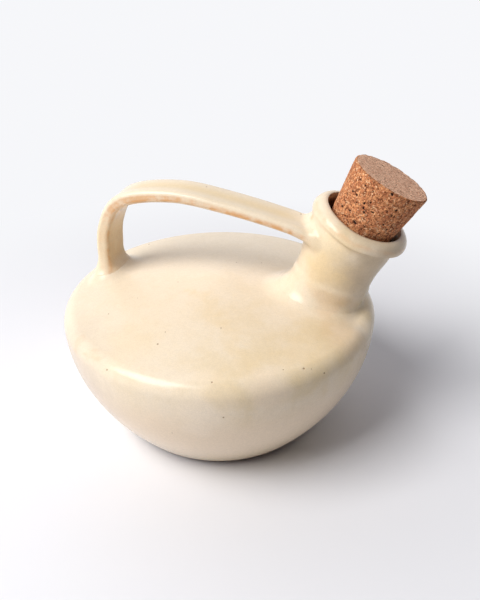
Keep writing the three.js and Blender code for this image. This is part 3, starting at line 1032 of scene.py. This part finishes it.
# Soft patches in the glaze: place in mm, radius, colour and strength. Most are stains; the pale ones are
# painted light on the bowl's front below the ridge and on the shoulder left of the neck, and the dun and
# sand ones are painted shade on the neck's right side and on the bowl's side that faces the lamp
STAINS_AND_PAINTED_LIGHT = [
    (9.5, -74.0, 60.8, 13, OLIVE, 0.45), (-4.0, -75.0, 57.0, 9, OCHRE, 0.3),
    (-56.3, -48.2, 61.9, 5, ORANGE, 0.45), (-47.6, -55.0, 63.7, 4, ORANGE, 0.4),
    (30.0, -68.0, 60.5, 14, PINK, 0.7), (-12.1, -13.4, 72.8, 4, OLIVE, 0.35),
    (42.9, -3.9, 111.4, 5, TAN, 0.55), (56.1, -20.2, 104.8, 2.0, TAN, 0.7),
    (53.0, -18.5, 73.0, 11, ORANGE, 0.4), (50.0, -18.0, 88.0, 16, OLIVE, 0.55),
    (44.0, -13.0, 92.0, 12, OLIVE, 0.5), (63.0, -32.0, 66.0, 20, ORANGE, 0.35),
    (22.0, 10.0, 71.0, 20, PAINTED_LIGHT, 0.35), (-58.0, -48.0, 46.0, 36, BOWL_PAINTED_SHADE, 0.8),
    (2.0, -76.0, 53.5, 22, PAINTED_LIGHT, 0.65), (70.0, -12.0, 96.0, 20, NECK_PAINTED_SHADE, 0.9),
    (66.0, -14.0, 84.0, 16, NECK_PAINTED_SHADE, 0.8), (44.0, -50.0, 66.5, 22, OLIVE, 0.45),
    (-30.0, -48.0, 67.0, 20, OLIVE, 0.2),
]
PATCH_CORE = 0.15
STREAK_START = np.array((-7.0, -15.0, 73.0))
STREAK_END = np.array((19.0, -59.0, 66.6))
STREAK_STEPS = 11
STREAK_RADII = (6, 10)
STREAK_STRENGTH = 0.2
for share in np.linspace(0, 1, STREAK_STEPS):
    streak = mix(STREAK_START, STREAK_END, share)
    STAINS_AND_PAINTED_LIGHT.append((*streak, mix(*STREAK_RADII, share), OLIVE, STREAK_STRENGTH))

# Pinholes in the glaze: place in mm and radius
PINHOLES = [
    (-19.6, -49.8, 67.8, 0.55), (42.5, -56.8, 65.0, 0.6), (-38.4, -63.0, 62.5, 0.5),
    (6.6, -70.0, 65.2, 0.5), (11.4, -73.5, 50.6, 0.5), (-11.0, -70.4, 37.3, 0.35),
    (50.9, -54.2, 61.4, 0.5), (5.9, -37.9, 69.9, 0.4), (-17.9, -42.0, 68.9, 0.35),
    (-19.6, -4.1, 72.5, 0.35), (-36.6, -16.3, 69.7, 0.3), (-47.4, -28.2, 67.6, 0.4),
    (6.0, 19.2, 72.5, 0.45), (18.5, 22.3, 71.3, 0.45), (62.9, -15.0, 78.6, 0.55),
    (43.0, -20.0, 72.0, 0.6), (39.3, -18.3, 72.7, 0.55), (52.1, -21.4, 69.3, 0.6),
    (-6.6, 10.5, 115.9, 0.4), (37.6, 3.4, 107.0, 0.45), (34.2, -59.4, 65.7, 0.35),
    (45.5, -55.9, 64.3, 0.3),
]
PINHOLE_EDGE = 1.15
BACK_PINHOLE_SPACING = 26
BACK_PINHOLE_RADIUS = 0.8
BACK_STARTS = (0.030, 0.020)


def pinholes(tree, place, y):
    """From 0 at the middle of a pinhole to 1 at its edge and beyond. Those on the back are strewn."""
    nearest = 1.0
    for *middle, radius in PINHOLES:
        away = from_point(tree, place, *middle)
        away = sums(tree, "MULTIPLY", away, 1 / (radius * PINHOLE_EDGE * MM))
        nearest = sums(tree, "MINIMUM", away, nearest)
    away = cells(tree, place, BACK_PINHOLE_SPACING)["Distance"]
    away = sums(tree, "MULTIPLY", away, BACK_PINHOLE_SPACING / BACK_PINHOLE_RADIUS)
    front = spread(tree, y, *BACK_STARTS)
    return sums(tree, "MINIMUM", nearest, sums(tree, "ADD", away, front))


# Noise in the glaze: size in mm, detail and roughness. Then what is made of it: from, to, and the
# values that they become. Heights here are in metres
FINE = (0.5, 2, 0.5)
GRAIN = (1.6, 3, 0.6)
MOTTLE = (24, 5, 0.6)
FLECKS = (5, 3, 0.6)
PATCHES = (5, 4)
WAVE = (45, 3)
PATCH_BEND = (9, 5.0, 20)
NOISE_RANGE = (0.3, 0.7)
MOTTLE_RANGE = (0.38, 0.62, 0.1, 1.15)
FLECK_RANGE = (0.42, 0.68, 0.0, 0.15)
PATCH_RANGE = (0.34, 0.60, 0.3, 1.0)
FINE_TINT = (0.96, 1.03)
GRAIN_TINT = (0.98, 1.015)
PINHOLE_DARK = (0.85, 0.4)
WARM_SIDE = (0.75, -0.55, 0)
WARM_RANGE = (-0.01, 0.085, 0.1, 1.0)
LOW_WAVE = 0.016
LOW_TOP = (0.066, 0.046)
LOW_BOTTOM = (0.016, 0.034, 0.25, 1.0)
BARE_FOOT = (0.0038, 0.0024)
BARE_ROUGHNESS = 0.4
GLAZE_ROUGHNESS = (0.21, 0.26)
GLAZE_GLOSS = 0.34
GLAZE_IOR = 1.5


def cream_glaze():
    material, tree, shader, place = started("cream_glaze")
    _x, y, z = add(tree, "SeparateXYZ", {0: place}).outputs
    fine = noise(tree, place, *FINE)
    grain = noise(tree, place, *GRAIN)
    warm = spread(tree, vectors(tree, "DOT_PRODUCT", place, WARM_SIDE), *WARM_RANGE)
    mottle = spread(tree, noise(tree, place, *MOTTLE), *MOTTLE_RANGE)
    flecks = spread(tree, noise(tree, place, *FLECKS), *FLECK_RANGE)
    cast = sums(tree, "ADD", sums(tree, "MULTIPLY", mottle, warm), flecks, True)
    level = sums(tree, "ADD", z, sums(tree, "MULTIPLY", noise(tree, place, *WAVE), LOW_WAVE))
    low = sums(tree, "MULTIPLY", spread(tree, level, *LOW_TOP), spread(tree, level, *LOW_BOTTOM))
    colour = blend(tree, cast, CREAM, OCHRE)
    colour = blend(tree, low, colour, PINK)
    # Stains in the glaze, with patches of painted light and painted shade among them
    patch_place = bent(tree, place, *PATCH_BEND)
    for *middle, radius, patch_colour, strength in STAINS_AND_PAINTED_LIGHT:
        away = from_point(tree, patch_place, *middle)
        share = spread(tree, away, radius * MM, PATCH_CORE * radius * MM, 0.0, strength)
        colour = blend(tree, share, colour, patch_colour)
    patchy = spread(tree, noise(tree, place, *PATCHES), *PATCH_RANGE)
    # Tan where the glaze wears on the edges, and painted shade on the strap's inner faces
    colour = blend(tree, sums(tree, "MULTIPLY", painted(tree, "wear_and_shade"), patchy, True), colour, TAN)
    # Olive where the glaze pools on the strap's top, and painted shade over the handle's leg
    colour = blend(tree, painted(tree, "pool_and_shade"), colour, OLIVE)
    tint = sums(
        tree, "MULTIPLY", spread(tree, fine, *NOISE_RANGE, *FINE_TINT),
        spread(tree, grain, *NOISE_RANGE, *GRAIN_TINT))
    colour = tinted(tree, colour, tint)
    hole = pinholes(tree, place, y)
    colour = blend(tree, spread(tree, hole, *PINHOLE_DARK), colour, PIT)
    # A dark band at the foot: bare clay, and painted contact shade where the pot meets the floor
    bare = spread(tree, z, *BARE_FOOT)
    colour = blend(tree, bare, colour, FOOT_CLAY_AND_SHADE)
    # Painted shade inside the mouth
    colour = blend(tree, painted(tree, "inside"), colour, MOUTH_SHADE)
    roughness = spread(tree, grain, *NOISE_RANGE, *GLAZE_ROUGHNESS)
    roughness = sums(tree, "ADD", roughness, sums(tree, "MULTIPLY", bare, BARE_ROUGHNESS), True)
    shader.inputs["IOR"].default_value = GLAZE_IOR
    shader.inputs["Specular IOR Level"].default_value = GLAZE_GLOSS
    finish_shader(tree, shader, colour, roughness, [(grain, 0.03), (fine, 0.015), (hole, 0.5)])
    return material


CORK_DARK = (0.17, 0.05, 0.02)
CORK_MIDDLE = (0.49, 0.172, 0.074)
CORK_LIGHT = (0.755, 0.338, 0.148)
CORK_PALE = (0.88, 0.60, 0.36)
CORK_TOP = (0.98, 0.63, 0.43)
CORK_TOP_DARK = (0.62, 0.305, 0.19)
CORK_PIT = (0.025, 0.012, 0.008)
CORK_BEND = (1.4, 2.0, 1.3)
CORK_GRAIN = 1.25
CORK_SMALL_GRAIN = 0.52
CORK_SPECKS = (0.5, 3, 0.6)
CORK_STREAKS = (2.2, 5, 0.7)
CORK_STREAK_TURN = (0.2, 0.35, 0.9)
CORK_STREAK_SCALE = (1, 5, 1)
CORK_TINT = (0.68, 1.22)
CORK_ROUGHNESS = (0.78, 0.95)
CORK_GLOSS = 0.25


def pressed_cork():
    material, tree, shader, place = started("pressed_cork")
    crushed = bent(tree, place, *CORK_BEND)
    shade = add(tree, "SeparateColor", {0: cells(tree, crushed, CORK_GRAIN)["Color"]}).outputs
    small = add(tree, "SeparateColor", {0: cells(tree, crushed, CORK_SMALL_GRAIN)["Color"]}).outputs[0]
    edge = cells(tree, crushed, CORK_GRAIN, "DISTANCE_TO_EDGE")["Distance"]
    fine = noise(tree, place, *CORK_SPECKS)
    colour = blend(tree, shade[0], CORK_MIDDLE, CORK_LIGHT)
    colour = blend(tree, spread(tree, shade[1], 0.80, 1.0, 0.0, 0.7), colour, CORK_DARK)
    colour = blend(tree, spread(tree, small, 0.88, 0.95, 0.0, 0.7), colour, CORK_PALE)
    colour = blend(tree, spread(tree, small, 0.26, 0.14, 0.0, 0.85), colour, CORK_DARK)
    colour = blend(tree, spread(tree, edge, 0.08, 0.0, 0.0, 0.55), colour, CORK_DARK)
    streak = add(tree, "Mapping", {
        "Vector": place, "Rotation": CORK_STREAK_TURN, "Scale": CORK_STREAK_SCALE,
    })
    streak = noise(tree, streak.outputs[0], *CORK_STREAKS)
    top = blend(tree, spread(tree, streak, 0.40, 0.58), CORK_TOP_DARK, CORK_TOP)
    top = blend(tree, spread(tree, small, 0.22, 0.1, 0.0, 0.5), top, CORK_DARK)
    colour = blend(tree, painted(tree, "top"), colour, top)
    colour = tinted(tree, colour, spread(tree, fine, *NOISE_RANGE, *CORK_TINT))
    colour = blend(tree, spread(tree, painted(tree, "pit"), 0.35, 0.8), colour, CORK_PIT)
    roughness = spread(tree, fine, *NOISE_RANGE, *CORK_ROUGHNESS)
    shader.inputs["Specular IOR Level"].default_value = CORK_GLOSS
    finish_shader(tree, shader, colour, roughness, [(fine, 0.35), (edge, 0.3)])
    return material


PAPER = (0.815, 0.82, 0.865)
PAPER_ROUGHNESS = 0.9
PAPER_GLOSS = 0.1
PAPER_FADE = (0.10, 0.30)
BACKGROUND = (0.925, 0.93, 0.955)


def seen_directly(tree):
    """1 for the rays that show the background itself, 0 for the rays that carry its light."""
    path = add(tree, "LightPath").outputs
    seen = sums(tree, "MAXIMUM", path["Is Camera Ray"], path["Is Glossy Ray"])
    return sums(tree, "MAXIMUM", seen, path["Is Transmission Ray"])


def paper():
    """White paper that runs out into the plain background far from the pot."""
    material, tree, shader, place = started("paper")
    shader.inputs["Base Color"].default_value = (*PAPER, 1)
    shader.inputs["Roughness"].default_value = PAPER_ROUGHNESS
    shader.inputs["Specular IOR Level"].default_value = PAPER_GLOSS
    away = add(tree, "VectorMath", {0: place}, operation="LENGTH").outputs["Value"]
    far = sums(tree, "MULTIPLY", spread(tree, away, *PAPER_FADE), seen_directly(tree))
    plain = add(tree, "Emission", {"Color": BACKGROUND, "Strength": 1.0})
    mixed = add(tree, "MixShader", {0: far, 1: shader.outputs[0], 2: plain.outputs[0]})
    tree.links.new(mixed.outputs[0], tree.nodes["Material Output"].inputs["Surface"])
    return material


glaze = cream_glaze()
cork = pressed_cork()
base_bowl(glaze)
shoulder_cap(glaze)
neck(glaze)
neck_collar(glaze)
strap_handle(glaze)
cork_stopper(cork)

# Floor, light and camera, in metres
FLOOR_HALF = 6.0
floor_corners = [(x * FLOOR_HALF, y * FLOOR_HALF, 0) for x, y in ((-1, -1), (1, -1), (1, 1), (-1, 1))]
floor = mesh_object("floor", floor_corners, [(0, 1, 2, 3)])
floor.data.materials.append(paper())

SKY_COLOUR = (0.97, 0.965, 1.0)
SKY_BEHIND = (-0.3, 1.15, 0)
SKY_FILL = 0.05


def studio():
    """A sky that is plain where it is seen, and gives its light from behind the pot."""
    world = bpy.data.worlds.new("studio")
    world.use_nodes = True
    tree = world.node_tree
    way = add(tree, "TexCoord").outputs["Generated"]
    behind = sums(tree, "MAXIMUM", vectors(tree, "DOT_PRODUCT", way, SKY_BEHIND), 0.0)
    behind = sums(tree, "ADD", behind, SKY_FILL)
    seen = seen_directly(tree)
    strength = add(tree, "Mix", {0: seen, 2: behind, 3: 1.0}).outputs[0]
    background = tree.nodes["Background"]
    tree.links.new(strength, background.inputs["Strength"])
    tree.links.new(blend(tree, seen, SKY_COLOUR, BACKGROUND), background.inputs["Color"])
    return world


bpy.context.scene.world = studio()

LAMP_AIM = Vector((0, 0, 0.04))
LAMP_AZIMUTH = math.radians(216.5)
LAMP_ELEVATION = math.radians(50.5)
LAMP_DISTANCE = 1.1
LAMP_SIZE = 0.64
LAMP_POWER = 13.3
LAMP_COLOUR = (1.0, 0.985, 0.96)
lamp_data = bpy.data.lights.new("softbox", "AREA")
lamp_data.shape = "RECTANGLE"
lamp_data.size = lamp_data.size_y = LAMP_SIZE
lamp_data.energy = LAMP_POWER
lamp_data.color = LAMP_COLOUR
lamp = bpy.data.objects.new("softbox", lamp_data)
lamp.location = LAMP_DISTANCE * Vector((
    math.cos(LAMP_ELEVATION) * math.cos(LAMP_AZIMUTH),
    math.cos(LAMP_ELEVATION) * math.sin(LAMP_AZIMUTH), math.sin(LAMP_ELEVATION),
))
lamp.rotation_euler = (LAMP_AIM - lamp.location).to_track_quat("-Z", "Y").to_euler()
bpy.context.scene.collection.objects.link(lamp)

VIEW_AZIMUTH = math.radians(6.55)
VIEW_ELEVATION = math.radians(30.81)
VIEW_ROLL = math.radians(-0.283)
VIEW_PLACE = (0.04107, -0.27166, 0.22492)
LENS = 39.0
SENSOR = 36.0
camera_data = bpy.data.cameras.new("camera")
camera_data.lens = LENS
camera_data.sensor_width = SENSOR
camera = bpy.data.objects.new("camera", camera_data)
turns = ((VIEW_AZIMUTH, "Z"), (math.pi / 2 - VIEW_ELEVATION, "X"), (VIEW_ROLL, "Z"))
placed = Matrix.Translation(VIEW_PLACE)
for angle, axis in turns:
    placed = placed @ Matrix.Rotation(angle, 4, axis)
camera.matrix_world = placed
bpy.context.scene.collection.objects.link(camera)
bpy.context.scene.camera = camera
bpy.context.scene.view_settings.view_transform = "Standard"
